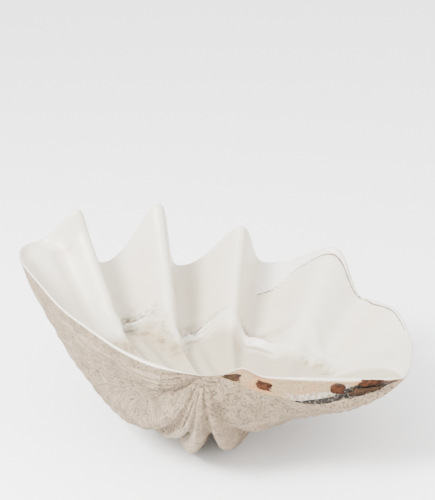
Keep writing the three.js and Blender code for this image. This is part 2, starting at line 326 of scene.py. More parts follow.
def normals_of(function, a, b, da, db):
    """Unit normals of a surface function by small steps both ways."""
    along = function(a + da, b) - function(a - da, b)
    across = function(a, b + db) - function(a, b - db)
    cross = np.cross(along, across)
    length = np.linalg.norm(cross, axis=-1, keepdims=True)
    return np.where(length > 1e-9, cross / np.maximum(length, 1e-9), 0.0)


# Edge of the thick rim layer, as (margin place, bowl row): it hangs low in the channels.
PALLIAL_LINE = [
    (0, 9.5), (4, 9.0), (6.6, 9.1), (7.0, 9.8), (7.5, 8.2), (8.1, 7.1), (8.5, 8.3), (9.0, 9.9),
    (9.3, 10.0), (9.7, 8.8), (10.1, 8.3), (10.5, 7.8), (11.0, 8.5), (11.6, 8.8), (12.2, 9.1),
    (13.2, 9.8), (14.0, 9.4), (15.0, 10.8), (16.5, 10.5), (18, 10),
]
# Edge of the younger layer over the back channel's rim, as (margin place, bowl row).
STEP_LINE = [
    (11.5, 3.9), (11.85, 3.4), (12.05, 3.0), (12.2, 2.7), (12.3, 2.0), (12.4, 1.4), (12.5, 1.15),
    (12.7, 0.9), (12.9, 0.75), (13.3, 0.5), (13.8, 0.1), (14.1, 0.1), (14.3, 0.4), (14.8, 0.3),
    (15.5, 0.35), (16.2, 0.2),
]
# Swellings of the outer ribs: margin place, half width, growth stage and height in millimetres.
KNUCKLES = [
    (9.5, 0.4, 0.34, 15.0),
    (8.3, 0.5, 0.24, 5.0),
]
KNUCKLE_LENGTH = 0.12
# Chips along the margin: how many to a margin node, and their depth as a share of the growth stage.
CHIPS_PER_NODE = 0.9
CHIP_DEPTH = 0.004
# In millimetres: the younger layer's edge, the bowl's broad and fine swells, and the rim's rounding.
STEP_HEIGHT = 1.5
BROAD_SWELL = 1.3
FINE_SWELL = 0.3
RIM_ROUNDING = 3.0
# Growth steps of the outer side in one unit of the growth stage's logarithm, and how they waver.
STEPS_PER_UNIT = 22.0
STEP_WAVER = 0.03


def margin_wear(u):
    """How much of the margin is chipped away, as a share of the growth stage."""
    line = np.stack([u * CHIPS_PER_NODE, 0 * u, 0 * u], -1)
    ends = smooth((u - 0.6) / 0.6) * smooth((LAST - 0.4 - u) / 0.6)
    return CHIP_DEPTH * np.clip(field(line, 1.0, 4, 3.0) + 0.15, 0, 1) * ends


def worn(s, u):
    """Growth stage with the margin's chips taken off."""
    return s - margin_wear(u) * smooth((s - 0.9) / 0.1)


def step_row(u):
    """Bowl row of the younger layer's edge."""
    places, rows = np.array(STEP_LINE, float).T
    return np.interp(u, places, rows)


def pallial_row(u):
    """Bowl row of the thick layer's edge, with the corners of its line rounded off."""
    places, rows = np.array(PALLIAL_LINE, float).T
    fine = np.linspace(0, LAST, 721)
    line = np.interp(fine, places, rows)
    kernel = np.hanning(17)
    kernel /= kernel.sum()
    line = np.convolve(np.pad(line, 8, mode="edge"), kernel, mode="valid")
    return np.interp(u, fine, line)


def outer_relief(points, u, s, unworn, growth_relief):
    """Height of the outer side's relief in metres: steps, swells, pits and the ribs' knuckles."""
    warp = field(points, 9.0, 2, 5.0) * STEP_WAVER
    stage = -np.log(np.maximum(s, 0.02)) + warp
    line = np.stack([stage * STEPS_PER_UNIT, u * 0.12, 0 * u], -1)
    steps = field(line, 1.0, 3, 11.0)
    swells = field(points, 14.0, 3, 2.0)
    pits = np.clip(field(points, 62.0, 2, 7.0) - 0.25, 0, 1)
    fade = smooth((1 - unworn) / 0.06) * smooth(u / 0.6) * smooth((LAST - u) / 0.25)
    size = np.clip(0.35 + s, 0, 1)
    knuckles = sum(height * bump(u, at, half) * bump(s, middle, KNUCKLE_LENGTH)
                   for at, half, middle, height in KNUCKLES)
    rough = (steps + 0.8 * swells - 1.3 * pits) * (1 - 0.6 * ridge_share(u))
    return fade * (size * rough * growth_relief + MM * knuckles)


def bowl_relief(points, u, row, lip_height):
    """Height of the bowl's relief in metres: the lip, the step in the rim and shallow swells."""
    off = row - pallial_row(u)
    in_channel = 0.12 + 0.88 * (1 - ridge_share(u))
    shelf = smooth((0.14 - off) / 0.24) * smooth((off + 3.0) / 2.2)
    hollows = 0.5 * bump(off, -0.75, 0.3) + 0.35 * bump(off, 0.4, 0.25)
    lip = 0.9 * bump(off, -0.12, 0.26) + 0.55 * shelf - hollows
    ripples = field(points, 45.0, 2, 29.0) * 0.7 * bump(off, 0.0, 0.5)
    ends = smooth((u - 6.5) / 0.6) * smooth((14.6 - u) / 1.6)
    layer = (lip * in_channel * lip_height / MM + ripples) * ends
    off_step = row - step_row(u)
    span = smooth((u - 11.6) / 0.4) * smooth((13.2 - u) / 0.3)
    step = -STEP_HEIGHT * smooth((0.12 - off_step) / 0.24) * span
    swells = field(points, 9.0, 2, 21.0) * BROAD_SWELL + field(points, 34.0, 2, 23.0) * FINE_SWELL
    fade = smooth(row / 0.4) * smooth((SHEET_ROWS + FLOOR_ROWS - row) / 1.5)
    fade = fade * smooth(u) * smooth((LAST - u) / 0.6)
    return MM * fade * (layer + step * smooth(row / 0.6) + swells * smooth(row / 2.0))


# ---------------------------------------------------------------- stains

# Stains in the bowl: margin place, bowl row, half size in place and row, strength.
BOWL_STAINS = [
    (8.15, 6.4, 0.3, 0.7, 0.6),
    (8.4, 8.7, 0.3, 0.6, 1.0),
    (8.6, 9.4, 0.3, 0.65, 1.0),
    (8.8, 10.3, 0.2, 0.7, 0.9),
    (7.0, 10.3, 0.6, 0.5, 1.0),
    (10.15, 6.8, 0.25, 0.45, 0.6),
    (9.1, 10.7, 0.35, 0.35, 0.6),
    (13.55, 9.9, 0.35, 0.4, 0.9),
    (14.1, 9.9, 0.4, 0.45, 1.0),
    (14.6, 10.5, 0.4, 0.4, 0.9),
    (12.1, 7.9, 0.5, 0.4, 0.6),
]
# Rust on the hinge plate: share along the hinge, share across the plate, half sizes, strength.
PLATE_RUST = [
    (0.07, 0.15, 0.03, 0.2, 1.0),
    (0.14, 0.65, 0.05, 0.3, 1.0),
    (0.3, 0.6, 0.05, 0.25, 1.0),
    (0.68, 0.35, 0.05, 0.2, 1.0),
    (0.86, 0.2, 0.09, 0.16, 1.0),
    (0.8, 0.5, 0.14, 0.16, 0.8),
    (0.95, 0.28, 0.04, 0.1, 1.0),
]
# Holes that borers left in the outer side: margin place, growth stage, half sizes, strength.
BORER_HOLES = [
    (3.65, 0.61, 0.07, 0.012, 1.0),
    (3.7, 0.39, 0.06, 0.012, 1.0),
    (5.3, 0.52, 0.05, 0.01, 0.8),
    (7.6, 0.3, 0.05, 0.01, 0.8),
]


def blotches(x, y, spots):
    """Strength of a list of soft spots, each given by its middle, half sizes and strength."""
    total = np.zeros_like(x)
    for at_x, at_y, half_x, half_y, strength in spots:
        total = np.maximum(total, strength * bump(x, at_x, half_x) * bump(y, at_y, half_y))
    return total


# ---------------------------------------------------------------- mesh helpers

def shaped_grid(name, columns, rows):
    """A grid primitive with its vertices' places from 0 to 1 both ways."""
    bpy.ops.object.select_all(action="DESELECT")
    bpy.ops.mesh.primitive_grid_add(x_subdivisions=columns, y_subdivisions=rows, size=1.0)
    grid = bpy.context.object
    grid.name = name
    flat = np.empty(len(grid.data.vertices) * 3)
    grid.data.vertices.foreach_get("co", flat)
    places = flat.reshape(-1, 3)[:, :2] + 0.5
    return grid, places[:, 0], places[:, 1]


def place_grid(grid, points, **attributes):
    """Sets a grid's vertices and attributes. One that a grid leaves out is nought on it once joined."""
    grid.data.vertices.foreach_set("co", np.ascontiguousarray(points, dtype=np.float32).ravel())
    for key, values in attributes.items():
        layer = grid.data.attributes.new(key, "FLOAT", "POINT")
        layer.data.foreach_set("value", np.ascontiguousarray(values, dtype=np.float32))
    grid.data.update()


def select_only(*objects):
    bpy.ops.object.select_all(action="DESELECT")
    for item in objects:
        item.select_set(True)
    bpy.context.view_layer.objects.active = objects[0]


def join_grids(grids, name):
    select_only(*grids)
    bpy.ops.object.join()
    body = bpy.context.object
    body.name = name
    body.data.name = name
    return body


def mark_row(grid, name, row):
    """Numbers one row of a grid's vertices from one, to find it again once the grids are joined."""
    layer = grid.data.attributes.new(name, "FLOAT", "POINT")
    for number, vertex in enumerate(row, start=1):
        layer.data[vertex].value = number


def marked_row(body, name):
    """Vertices of a marked row in their order. Takes the marks away."""
    layer = body.data.attributes[name]
    values = np.empty(len(body.data.vertices), np.float32)
    layer.data.foreach_get("value", values)
    body.data.attributes.remove(layer)
    order = np.argsort(values, kind="stable")
    return [int(i) for i in order[np.sort(values) > 0.5]]


def zip_rows(body, row_a, row_b, share_a, share_b):
    """Triangles between two rows of vertex indices of different counts."""
    shell = bmesh.new()
    shell.from_mesh(body.data)
    shell.verts.ensure_lookup_table()
    a = b = 0
    while a + 1 < len(row_a) or b + 1 < len(row_b):
        step_a = b + 1 >= len(row_b) or (a + 1 < len(row_a) and share_a[a + 1] <= share_b[b + 1])
        if step_a:
            trio = (row_a[a], row_a[a + 1], row_b[b])
            a += 1
        else:
            trio = (row_a[a], row_b[b + 1], row_b[b])
            b += 1
        corners = [shell.verts[i] for i in trio]
        if len(set(corners)) == 3:
            shell.faces.new(corners)
    shell.to_mesh(body.data)
    shell.free()


# ---------------------------------------------------------------- valve

def station_of(row):
    """Growth stage and shrink of a row of the outer side, whose last rows close on the beak."""
    share = np.clip(row / OUTER_ROWS, 0, 1)
    stage = YOUNGEST_STAGE + (1 - YOUNGEST_STAGE) * (1 - share) ** ROW_CROWDING
    shrink = np.clip((OUTER_ROWS + CAP_ROWS - row) / CAP_ROWS, 0, 1)
    return stage, shrink


def outer_grid(settings):
    rows = OUTER_ROWS + CAP_ROWS
    grid, a, b = shaped_grid("outer_side", COLUMNS, rows)
    u, row = a * LAST, b * rows
    stage, shrink = station_of(row)
    s = worn(stage, u)
    points = placed(outer_point(u, s) * shrink[:, None])
    inside_ends = np.clip(u, 0.02, LAST - 0.02)
    normal = normals_of(outer_point, inside_ends, s, 0.01, 0.002) @ REST_TURN.T
    relief = outer_relief(points, u, s, stage, settings.growth_relief) * smooth(shrink)
    points = meet_at_beak(points + away_from_sheet(normal, u, s) * relief[:, None], u)
    place_grid(grid, points, growth=s * shrink, place=u, outside=np.ones_like(u),
               raised=relief / MM, hole=blotches(u, s, BORER_HOLES))
    return grid


def meet_at_beak(points, u):
    """The margin starts at the beak, so each grid's first column is drawn together to that point."""
    return np.where((u < 1e-6)[:, None], placed(np.zeros(3)), points)


def away_from_sheet(normal, u, s):
    """Normals of the outer side, turned to point away from the sheet."""
    away = (outer_point(u, s) - sheet_point(u, s)) @ REST_TURN.T
    return normal * np.where((away * normal).sum(-1) > 0, 1.0, -1.0)[:, None]


def rim_grid():
    grid, a, b = shaped_grid("rim", COLUMNS, ACROSS_ROWS)
    u = a * LAST
    s = worn(np.ones_like(u), u)
    outer, inner = outer_point(u, s), sheet_point(u, s)
    forward = sheet_point(u, s + 0.002) - inner
    forward /= np.linalg.norm(forward, axis=-1, keepdims=True) + 1e-9
    round_off = RIM_ROUNDING * np.sin(np.pi * b) ** 0.7 * smooth(u) * smooth((LAST - u) / 0.5)
    points = outer * (1 - b)[:, None] + inner * b[:, None] + forward * round_off[:, None]
    points = meet_at_beak(placed(points), u)
    place_grid(grid, points, growth=s, place=u, outside=1 - smooth(b * 1.4))
    return grid


def bowl_grid(settings):
    grid, a, b = shaped_grid("bowl", COLUMNS, BOWL_ROWS)
    u, row = a * LAST, np.interp(b, *np.array(BOWL_ROW_SPREAD).T)
    drop = 1 - floor_stage(u)
    wear = margin_wear(u) * (1 - smooth(row / 3.0)) / (drop + 1e-6) * SHEET_ROWS
    row_worn = np.where(drop > 0.005, row + wear, row)
    points = placed(bowl_point(u, row_worn))
    inside_ends = np.clip(u, 0.02, LAST - 0.02)
    inside_rows = np.clip(row_worn, 0.05, SHEET_ROWS + FLOOR_ROWS - 0.1)
    normal = normals_of(bowl_point, inside_ends, inside_rows, 0.01, 0.02) @ REST_TURN.T
    normal *= np.where(normal[:, 2:] < 0, -1.0, 1.0)
    relief = bowl_relief(points, u, row, settings.lip_height)
    points = meet_at_beak(points + normal * relief[:, None], u)
    off, off_step = row - pallial_row(u), row - step_row(u)
    reach = smooth((u - 11.75) / 0.15) * smooth((16.2 - u) / 0.4)
    in_channel = 1 - ridge_share(u)
    along_lip = smooth((u - 6.4) / 0.4) * smooth((14.2 - u) / 1.0)
    along_dirt = smooth((u - 7.0) / 0.5) * smooth((12.6 - u) / 1.0)
    place_grid(grid, points, growth=1 - row / ROWS_PER_GROWTH, place=u, raised=relief / MM,
               depth=smooth((off - 0.1) / 0.8), stain=blotches(u, row, BOWL_STAINS),
               dirt=1.5 * bump(off, -0.6, 0.42) * in_channel * along_dirt,
               # The lip mask places a painted highlight along the lip.
               lip=bump(off, -0.08, 0.24) * along_lip * (0.25 + 0.75 * in_channel),
               # Mask of the painted shade just under the lip.
               under_lip=bump(off, 0.26, 0.16) * along_lip * (0.2 + 0.8 * in_channel),
               orange=bump(u, 6.55, 0.12) * bump(row, 1.9, 0.28),
               step_mark=np.clip(1 - np.abs(off_step) / 0.6, 0, 1) * reach,
               step_out=smooth((0.05 - off_step) / 0.1) * reach)
    return grid


# Ligament groove: shares along the plate, with its middle and its half width as shares across it.
GROOVE_LINE = [(0.0, 1.25), (0.36, 1.08), (0.49, 0.98), (0.54, 0.88), (0.6, 0.8), (0.65, 0.73),
               (0.7, 0.58), (0.76, 0.5), (0.84, 0.45), (0.92, 0.42), (1.0, 0.36)]
GROOVE_HALF = [(0.0, 0.04), (0.5, 0.05), (0.66, 0.09), (0.74, 0.16), (0.88, 0.16), (0.93, 0.05),
               (1.0, 0.02)]
# Tooth, groove and ledge of the hinge plate, as shares of the plate's width, and where the tooth is.
TOOTH_RISE = 0.085
GROOVE_DEPTH = 0.1
LEDGE_DROP = 0.03
TOOTH_AT = 0.22
TOOTH_LENGTH = 0.14


def along_plate(table, s):
    return np.interp(s, *np.array(table, float).T)


def plate_relief(across, s, span, points, unworn):
    """Rise of the hinge plate in millimetres: its tooth, its groove and its crumbled edges."""
    line, half = along_plate(GROOVE_LINE, s), along_plate(GROOVE_HALF, s)
    tooth = TOOTH_RISE * bump(across, 0.3, 0.2) * (0.35 + bump(s, TOOTH_AT, TOOTH_LENGTH))
    groove = -GROOVE_DEPTH * bump(across, line, half)
    ledge = -LEDGE_DROP * smooth((across - line) / 0.1)
    crumble = field(points, 60.0, 4, 31.0) * (0.5 + 1.8 * smooth((across - line + 0.3) / 0.3))
    ends = smooth((1 - unworn) / 0.06) * smooth(s / 0.1)
    edges = smooth(across * 9) * smooth((1 - across) * 14)
    return ((tooth + groove + ledge) * span + crumble) * edges * ends


def plate_grid():
    """Hinge plate, from one step off the hinge line to the outer side's back edge."""
    rows = OUTER_ROWS + CAP_ROWS
    grid, a, b = shaped_grid("hinge_plate", ACROSS_ROWS - 1, rows)
    across = (1 + a * (ACROSS_ROWS - 1)) / ACROSS_ROWS
    row = b * rows
    end = np.full_like(across, float(LAST))
    stage, shrink = station_of(row)
    s = worn(stage, end)
    inner = hinge_point(s)
    width = outer_point(end, s) - inner
    span = np.linalg.norm(width, axis=-1)
    face = np.cross(width, np.array([1.0, 0, 0]))
    face /= np.linalg.norm(face, axis=-1, keepdims=True) + 1e-9
    flat = inner + width * across[:, None]
    relief = plate_relief(across, s, span, placed(flat), stage)
    points = placed((flat + face * relief[:, None]) * shrink[:, None])
    line, half = along_plate(GROOVE_LINE, s), along_plate(GROOVE_HALF, s)
    skin = smooth((across - line) / 0.12) * smooth((s - 0.3) / 0.1)
    band_ends = smooth((s - 0.38) / 0.1) * smooth((0.78 - s) / 0.08)
    place_grid(grid, points, growth=s * shrink, place=end,
               outside=np.maximum(skin, smooth((across - 0.9) * 10)),
               plate=(1 - skin) * smooth((across - 0.02) / 0.22), depth=across, raised=relief,
               rust=blotches(s * shrink, across, PLATE_RUST),
               band=smooth((across - line + 0.34) / 0.1) * (1 - skin) * band_ends,
               groove=bump(across, line, half * 1.25) * smooth((s - 0.4) / 0.08))
    return grid


class Finish:
    """Short hand for building one material's nodes."""

    def __init__(self, name):
        self.material = bpy.data.materials.new(name)
        self.material.use_nodes = True
        self.tree = self.material.node_tree
        self.shader = self.tree.nodes["Principled BSDF"]
        self.here = self.tree.nodes.new("ShaderNodeTexCoord").outputs["Object"]

    def link(self, value, socket):
        if isinstance(value, bpy.types.NodeSocket):
            self.tree.links.new(value, socket)
        else:
            socket.default_value = value

    def attribute(self, name):
        node = self.tree.nodes.new("ShaderNodeAttribute")
        node.attribute_name = name
        return node.outputs["Fac"]

    def math(self, operation, a, b=0.0, clamp=False):
        node = self.tree.nodes.new("ShaderNodeMath")
        node.operation = operation
        node.use_clamp = clamp
        self.link(a, node.inputs[0])
        self.link(b, node.inputs[1])
        return node.outputs[0]

    def times(self, a, b):
        return self.math("MULTIPLY", a, b)

    def noise(self, scale, detail=4.0, roughness=0.55, vector=None, distortion=0.0):
        node = self.tree.nodes.new("ShaderNodeTexNoise")
        self.link(self.here if vector is None else vector, node.inputs["Vector"])
        node.inputs["Scale"].default_value = scale
        node.inputs["Detail"].default_value = detail
        node.inputs["Roughness"].default_value = roughness
        node.inputs["Distortion"].default_value = distortion
        return node.outputs["Fac"]

    def window(self, value, low, high):
        """Rises from nought to one between low and high, clamped."""
        node = self.tree.nodes.new("ShaderNodeMapRange")
        node.interpolation_type = "SMOOTHSTEP"
        self.link(value, node.inputs["Value"])
        node.inputs["From Min"].default_value = low
        node.inputs["From Max"].default_value = high
        return node.outputs["Result"]

    def mix(self, factor, a, b):
        """Mixes two colours. A fixed colour is given as three numbers."""
        node = self.tree.nodes.new("ShaderNodeMix")
        node.data_type = "RGBA"
        self.link(factor, node.inputs[0])
        self.link(a if isinstance(a, bpy.types.NodeSocket) else (*a, 1.0), node.inputs[6])
        self.link(b if isinstance(b, bpy.types.NodeSocket) else (*b, 1.0), node.inputs[7])
        return node.outputs[2]

    def blend(self, factor, a, b):
        """Mixes two numbers."""
        node = self.tree.nodes.new("ShaderNodeMix")
        node.data_type = "FLOAT"
        self.link(factor, node.inputs[0])
        self.link(a, node.inputs[2])
        self.link(b, node.inputs[3])
        return node.outputs[0]

    def vector(self, x, y, z):
        node = self.tree.nodes.new("ShaderNodeCombineXYZ")
        self.link(x, node.inputs[0])
        self.link(y, node.inputs[1])
        self.link(z, node.inputs[2])
        return node.outputs[0]

    def bumps(self, height, distance):
        node = self.tree.nodes.new("ShaderNodeBump")
        self.link(height, node.inputs["Height"])
        node.inputs["Distance"].default_value = distance
        node.inputs["Strength"].default_value = 1.0
        return node.outputs["Normal"]


# Linear colours of the small marks. The large surfaces' colours are in the settings.
# Painted highlight along the bowl's thick lip.
LIP_PAINTED_HIGHLIGHT = (0.74, 0.71, 0.65)
RIM_GREY = (0.72, 0.69, 0.64)
# Painted shade just under the bowl's thick lip.
LIP_SHADE = (0.2, 0.155, 0.095)
ORANGE = (0.42, 0.22, 0.09)
SPECK = (0.42, 0.34, 0.24)
STAIN_PALE = (0.34, 0.26, 0.14)
STAIN_DARK = (0.15, 0.105, 0.05)
DIRT = (0.13, 0.09, 0.055)
STEP_BROWN = (0.12, 0.075, 0.045)
GRIME = (0.1, 0.082, 0.058)
BORER_HOLE = (0.02, 0.014, 0.01)
PLATE_CREAM = (0.25, 0.175, 0.09)
PLATE_PEACH = (0.3, 0.15, 0.06)
BAND_DARK = (0.2, 0.155, 0.1)
BAND_PALE = (0.42, 0.385, 0.32)
RUST_DARK = (0.018, 0.006, 0.003)
RUST_BRIGHT = (0.08, 0.027, 0.01)
GROOVE_DARK = (0.012, 0.008, 0.005)
GROOVE_PALE = (0.15, 0.115, 0.08)
FIBRE_DARK = (0.05, 0.03, 0.02)


def bowl_colour(f, settings, lines, cloud):
    """Porcelain, creamier on the floor, with a painted highlight on the lip, painted shade under it,
    dirt just outside it, the stains and the step line.
    """
    pearl = f.mix(f.window(cloud, 0.35, 0.75), settings.porcelain, settings.porcelain_warm)
    pearl = f.mix(f.times(f.attribute("depth"), 0.85), pearl, settings.porcelain_deep)
    # Painted highlight along the lip.
    pearl = f.mix(f.times(f.attribute("lip"), 0.8), pearl, LIP_PAINTED_HIGHLIGHT)
    # Painted shade under the lip, broken up by noise.
    shade = f.math("ADD", f.attribute("under_lip"), f.times(f.noise(70.0, 4.0, 0.7), 0.35))
    pearl = f.mix(f.times(f.window(shade, 0.55, 1.2), 0.75), pearl, LIP_SHADE)
    pearl = f.mix(f.times(f.attribute("orange"), 0.6), pearl, ORANGE)
    pearl = f.mix(f.times(f.attribute("step_out"), 0.8), pearl, RIM_GREY)
    pearl = f.mix(f.times(f.window(lines, 0.45, 0.75), 0.12), pearl, settings.porcelain_deep)
    specks = f.window(f.noise(210.0, 2.0), 0.68, 0.76)
    pearl = f.mix(f.times(specks, 0.25), pearl, SPECK)

    stain = f.attribute("stain")
    smear = f.times(stain, f.window(f.noise(75.0, 6.0, 0.75), 0.46, 0.62))
    pearl = f.mix(f.times(stain, 0.75), pearl, STAIN_PALE)
    pearl = f.mix(f.times(smear, 0.8), pearl, STAIN_DARK)
    crumbs = f.window(f.noise(130.0, 5.0, 0.8), 0.44, 0.58)
    pearl = f.mix(f.math("MULTIPLY", f.attribute("dirt"), crumbs, clamp=True), pearl, DIRT)
    wobble = f.math("ADD", f.attribute("step_mark"), f.times(f.noise(150.0, 3.0), 0.12))
    return f.mix(f.times(f.window(wobble, 0.84, 0.93), 0.9), pearl, STEP_BROWN)


def outside_colour(f, settings, lines, coarse, grain, fine):
    """Chalk with darker growth lines, pink bands, pits, paler worn tops and grime toward the beak."""
    growth = f.attribute("growth")
    chalk = f.mix(f.window(grain, 0.3, 0.7), settings.chalk_dark, settings.chalk)
    chalk = f.mix(f.times(f.window(lines, 0.5, 0.66), 0.65), chalk, settings.chalk_dark)
    chalk = f.mix(f.times(f.window(coarse, 0.5, 0.8), 0.45), chalk, settings.chalk_pink)
    chalk = f.mix(f.times(f.window(fine, 0.55, 0.64), 0.75), chalk, settings.pit)
    chalk = f.mix(f.times(f.window(f.attribute("raised"), 0.4, 2.0), 0.3), chalk, settings.chalk_pale)
    grime = f.times(f.window(growth, 0.75, 0.25), f.window(f.noise(105.0, 5.0, 0.8), 0.52, 0.66))
    chalk = f.mix(f.times(grime, 0.6), chalk, GRIME)
    return f.mix(f.window(f.attribute("hole"), 0.3, 0.6), chalk, BORER_HOLE)


def plate_colour(f):
    """Cream and peach, with a white granular band and rust blocks."""
    tan = f.mix(f.window(f.noise(26.0, 3.0), 0.42, 0.62), PLATE_CREAM, PLATE_PEACH)
    grains = f.window(f.noise(190.0, 4.0, 0.7), 0.4, 0.62)
    tan = f.mix(f.attribute("band"), tan, f.mix(grains, BAND_DARK, BAND_PALE))
    rust = f.math("ADD", f.attribute("rust"), f.times(f.noise(55.0, 5.0, 0.7), 0.5))
    rust_tone = f.mix(f.window(f.noise(110.0, 4.0), 0.4, 0.6), RUST_DARK, RUST_BRIGHT)
    return f.mix(f.window(rust, 0.72, 0.8), tan, rust_tone)


def shell_finish(settings):
    """Porcelain bowl, chalky growth-lined outside and a stained hinge plate on one surface."""
    f = Finish("giant_clam_shell")
    growth, place = f.attribute("growth"), f.attribute("place")
    outside, plate = f.attribute("outside"), f.attribute("plate")

    # Growth lines: noise that is fine along the growth and long around the margin.
    lines_at = f.vector(f.times(growth, 90.0), f.times(place, 0.8), 0.0)
    lines = f.noise(1.0, 3.0, 0.6, lines_at, 0.3)
    coarse_at = f.vector(f.times(growth, 26.0), f.times(place, 0.35), 3.0)
    coarse = f.noise(1.0, 2.0, 0.5, coarse_at, 0.4)
    cloud = f.noise(7.0, 3.0)
    grain = f.noise(38.0, 6.0, 0.65)
    fine = f.noise(260.0, 3.0, 0.7)

    chalk = outside_colour(f, settings, lines, coarse, grain, fine)
    base = f.mix(f.window(outside, 0.25, 0.75), bowl_colour(f, settings, lines, cloud), chalk)
    base = f.mix(f.window(plate, 0.2, 0.8), base, plate_colour(f))
    dark = f.math("ADD", f.attribute("groove"), f.times(f.noise(95.0, 5.0, 0.75), 0.8))
    dark_tone = f.mix(f.window(f.noise(230.0, 3.0, 0.7), 0.5, 0.66), GROOVE_DARK, GROOVE_PALE)
    base = f.mix(f.window(dark, 0.72, 0.86), base, dark_tone)
    f.link(base, f.shader.inputs["Base Color"])

    gloss = f.blend(f.window(outside, 0.2, 0.6), f.blend(cloud, 0.26, 0.42), 0.88)
    f.link(f.blend(plate, gloss, 0.6), f.shader.inputs["Roughness"])
    f.shader.inputs["Specular IOR Level"].default_value = 0.4
    f.shader.inputs["Subsurface Weight"].default_value = 0.08
    f.shader.inputs["Subsurface Radius"].default_value = (0.012, 0.008, 0.005)
    f.shader.inputs["Subsurface Scale"].default_value = 0.5

    rough_side = f.math("MAXIMUM", outside, f.times(plate, 0.6))
    pits = f.math("SUBTRACT", 1.0, f.window(fine, 0.5, 0.72))
    height = f.math("ADD", f.times(lines, 0.5), f.times(pits, 0.6))
    height = f.times(f.math("ADD", height, f.times(grain, 0.6)), rough_side)
    height = f.math("ADD", height, f.times(coarse, 0.12))
    f.link(f.bumps(height, 0.003), f.shader.inputs["Normal"])
    return f.material


def wear_flat(body):
    """The valve's two lowest ribs are worn flat where it stands, so nothing reaches lower."""
    for vertex in body.data.vertices:
        vertex.co.z = max(vertex.co.z, 0.0)


def build_valve(settings):
    """Joins the four grids into one closed body. The bowl's last row is zipped to the hinge plate."""
    bowl = bowl_grid(settings)
    outer = outer_grid(settings)
    rim = rim_grid()
    plate = plate_grid()
    hinge_row_start = BOWL_ROWS * (COLUMNS + 1)
    mark_row(bowl, "hinge_row", range(hinge_row_start, hinge_row_start + COLUMNS + 1))
    stations = OUTER_ROWS + CAP_ROWS
    mark_row(plate, "plate_row", [ACROSS_ROWS * i for i in range(stations, -1, -1)])
    body = join_grids([outer, rim, bowl, plate], "giant_clam_valve")
    stage, shrink = station_of(np.arange(stations, -1, -1, dtype=float))
    zip_rows(body, marked_row(body, "hinge_row"), marked_row(body, "plate_row"),
             hinge_share(np.linspace(0, LAST, COLUMNS + 1)), stage * shrink)
    bpy.ops.object.mode_set(mode="EDIT")
    bpy.ops.mesh.select_all(action="SELECT")
    bpy.ops.mesh.remove_doubles(threshold=MERGE_DISTANCE)
    bpy.ops.mesh.normals_make_consistent(inside=False)
    bpy.ops.object.mode_set(mode="OBJECT")
    wear_flat(body)
    bpy.ops.object.shade_smooth()
    body.data.materials.clear()
    body.data.materials.append(shell_finish(settings))
    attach(body, "root")
    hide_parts("valve")
    return body


# ---------------------------------------------------------------- ligament

# Height of the crumbs on a scrap, in metres.
SCRAP_CRUMBS = 0.0007


def ligament_finish(name, dark, light):
    """Matt dried fibres in two tones."""
    f = Finish(name)
    patches = f.noise(120.0, 5.0, 0.7)
    fibres = f.noise(420.0, 2.0, 0.6)
    colour = f.mix(f.window(patches, 0.35, 0.65), dark, light)
    colour = f.mix(f.times(f.window(fibres, 0.55, 0.7), 0.5), colour, FIBRE_DARK)
    f.link(colour, f.shader.inputs["Base Color"])
    f.shader.inputs["Roughness"].default_value = 0.8
    f.shader.inputs["Specular IOR Level"].default_value = 0.12
    f.link(f.bumps(f.math("ADD", patches, fibres), 0.0012), f.shader.inputs["Normal"])
    return f.material


def build_scrap(node, material):
    """A dried scrap: the solid's own shape, made finer and crumbled."""
    source = bpy.data.objects[node]
    scrap = source.copy()
    scrap.data = source.data.copy()
    scrap.name = node + "_dried"
    bpy.context.scene.collection.objects.link(scrap)
    scrap.hide_render = False
    scrap.hide_set(False)
    select_only(scrap)
    bpy.ops.object.mode_set(mode="EDIT")
    bpy.ops.mesh.select_all(action="SELECT")
    bpy.ops.mesh.remove_doubles(threshold=MERGE_DISTANCE)
    bpy.ops.mesh.tris_convert_to_quads()
    bpy.ops.object.mode_set(mode="OBJECT")
    finer = scrap.modifiers.new("finer", "SUBSURF")
    finer.levels = finer.render_levels = 2
    bpy.ops.object.modifier_apply(modifier=finer.name)
    mesh = scrap.data
    points = np.empty(len(mesh.vertices) * 3)
    normals = np.empty(len(mesh.vertices) * 3)
    mesh.vertices.foreach_get("co", points)
    mesh.vertices.foreach_get("normal", normals)
    points, normals = points.reshape(-1, 3), normals.reshape(-1, 3)
    crumbs = field(points, 160.0, 3, 41.0) * SCRAP_CRUMBS
    mesh.vertices.foreach_set("co", (points + normals * crumbs[:, None]).ravel())
    mesh.update()
    mesh.materials.clear()
    mesh.materials.append(material)
    bpy.ops.object.shade_smooth()
    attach(scrap, "root")
    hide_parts(node)
    return scrap


# ---------------------------------------------------------------- stage

FLOOR_SIZE = 30.0
LIT_POINT = (0, 0, 0.15)
CAMERA_PLACE = (0.1785, -2.4552, 1.2301)
CAMERA_AZIMUTH = math.radians(-3.6)
CAMERA_ELEVATION = math.radians(20.4)
CAMERA_ROLL = math.radians(-3.4)
SENSOR_HEIGHT = 24.0
FOCAL_LENGTH = 73.8


def area_light(name, place, size, power):
    """A square soft light that faces the shell."""
    bpy.ops.object.light_add(type="AREA", location=place)
    light = bpy.context.object
    light.name = name
    light.data.size = size
    light.data.energy = power
    light.rotation_euler = (Vector(LIT_POINT) - Vector(place)).to_track_quat("-Z", "Y").to_euler()


def build_floor(settings):
    bpy.ops.mesh.primitive_plane_add(size=FLOOR_SIZE)
    floor = bpy.context.object
    floor.name = "studio_floor"
    f = Finish("studio_floor")
    f.shader.inputs["Base Color"].default_value = (*settings.floor_colour, 1.0)
    f.shader.inputs["Roughness"].default_value = 0.9
    floor.data.materials.append(f.material)


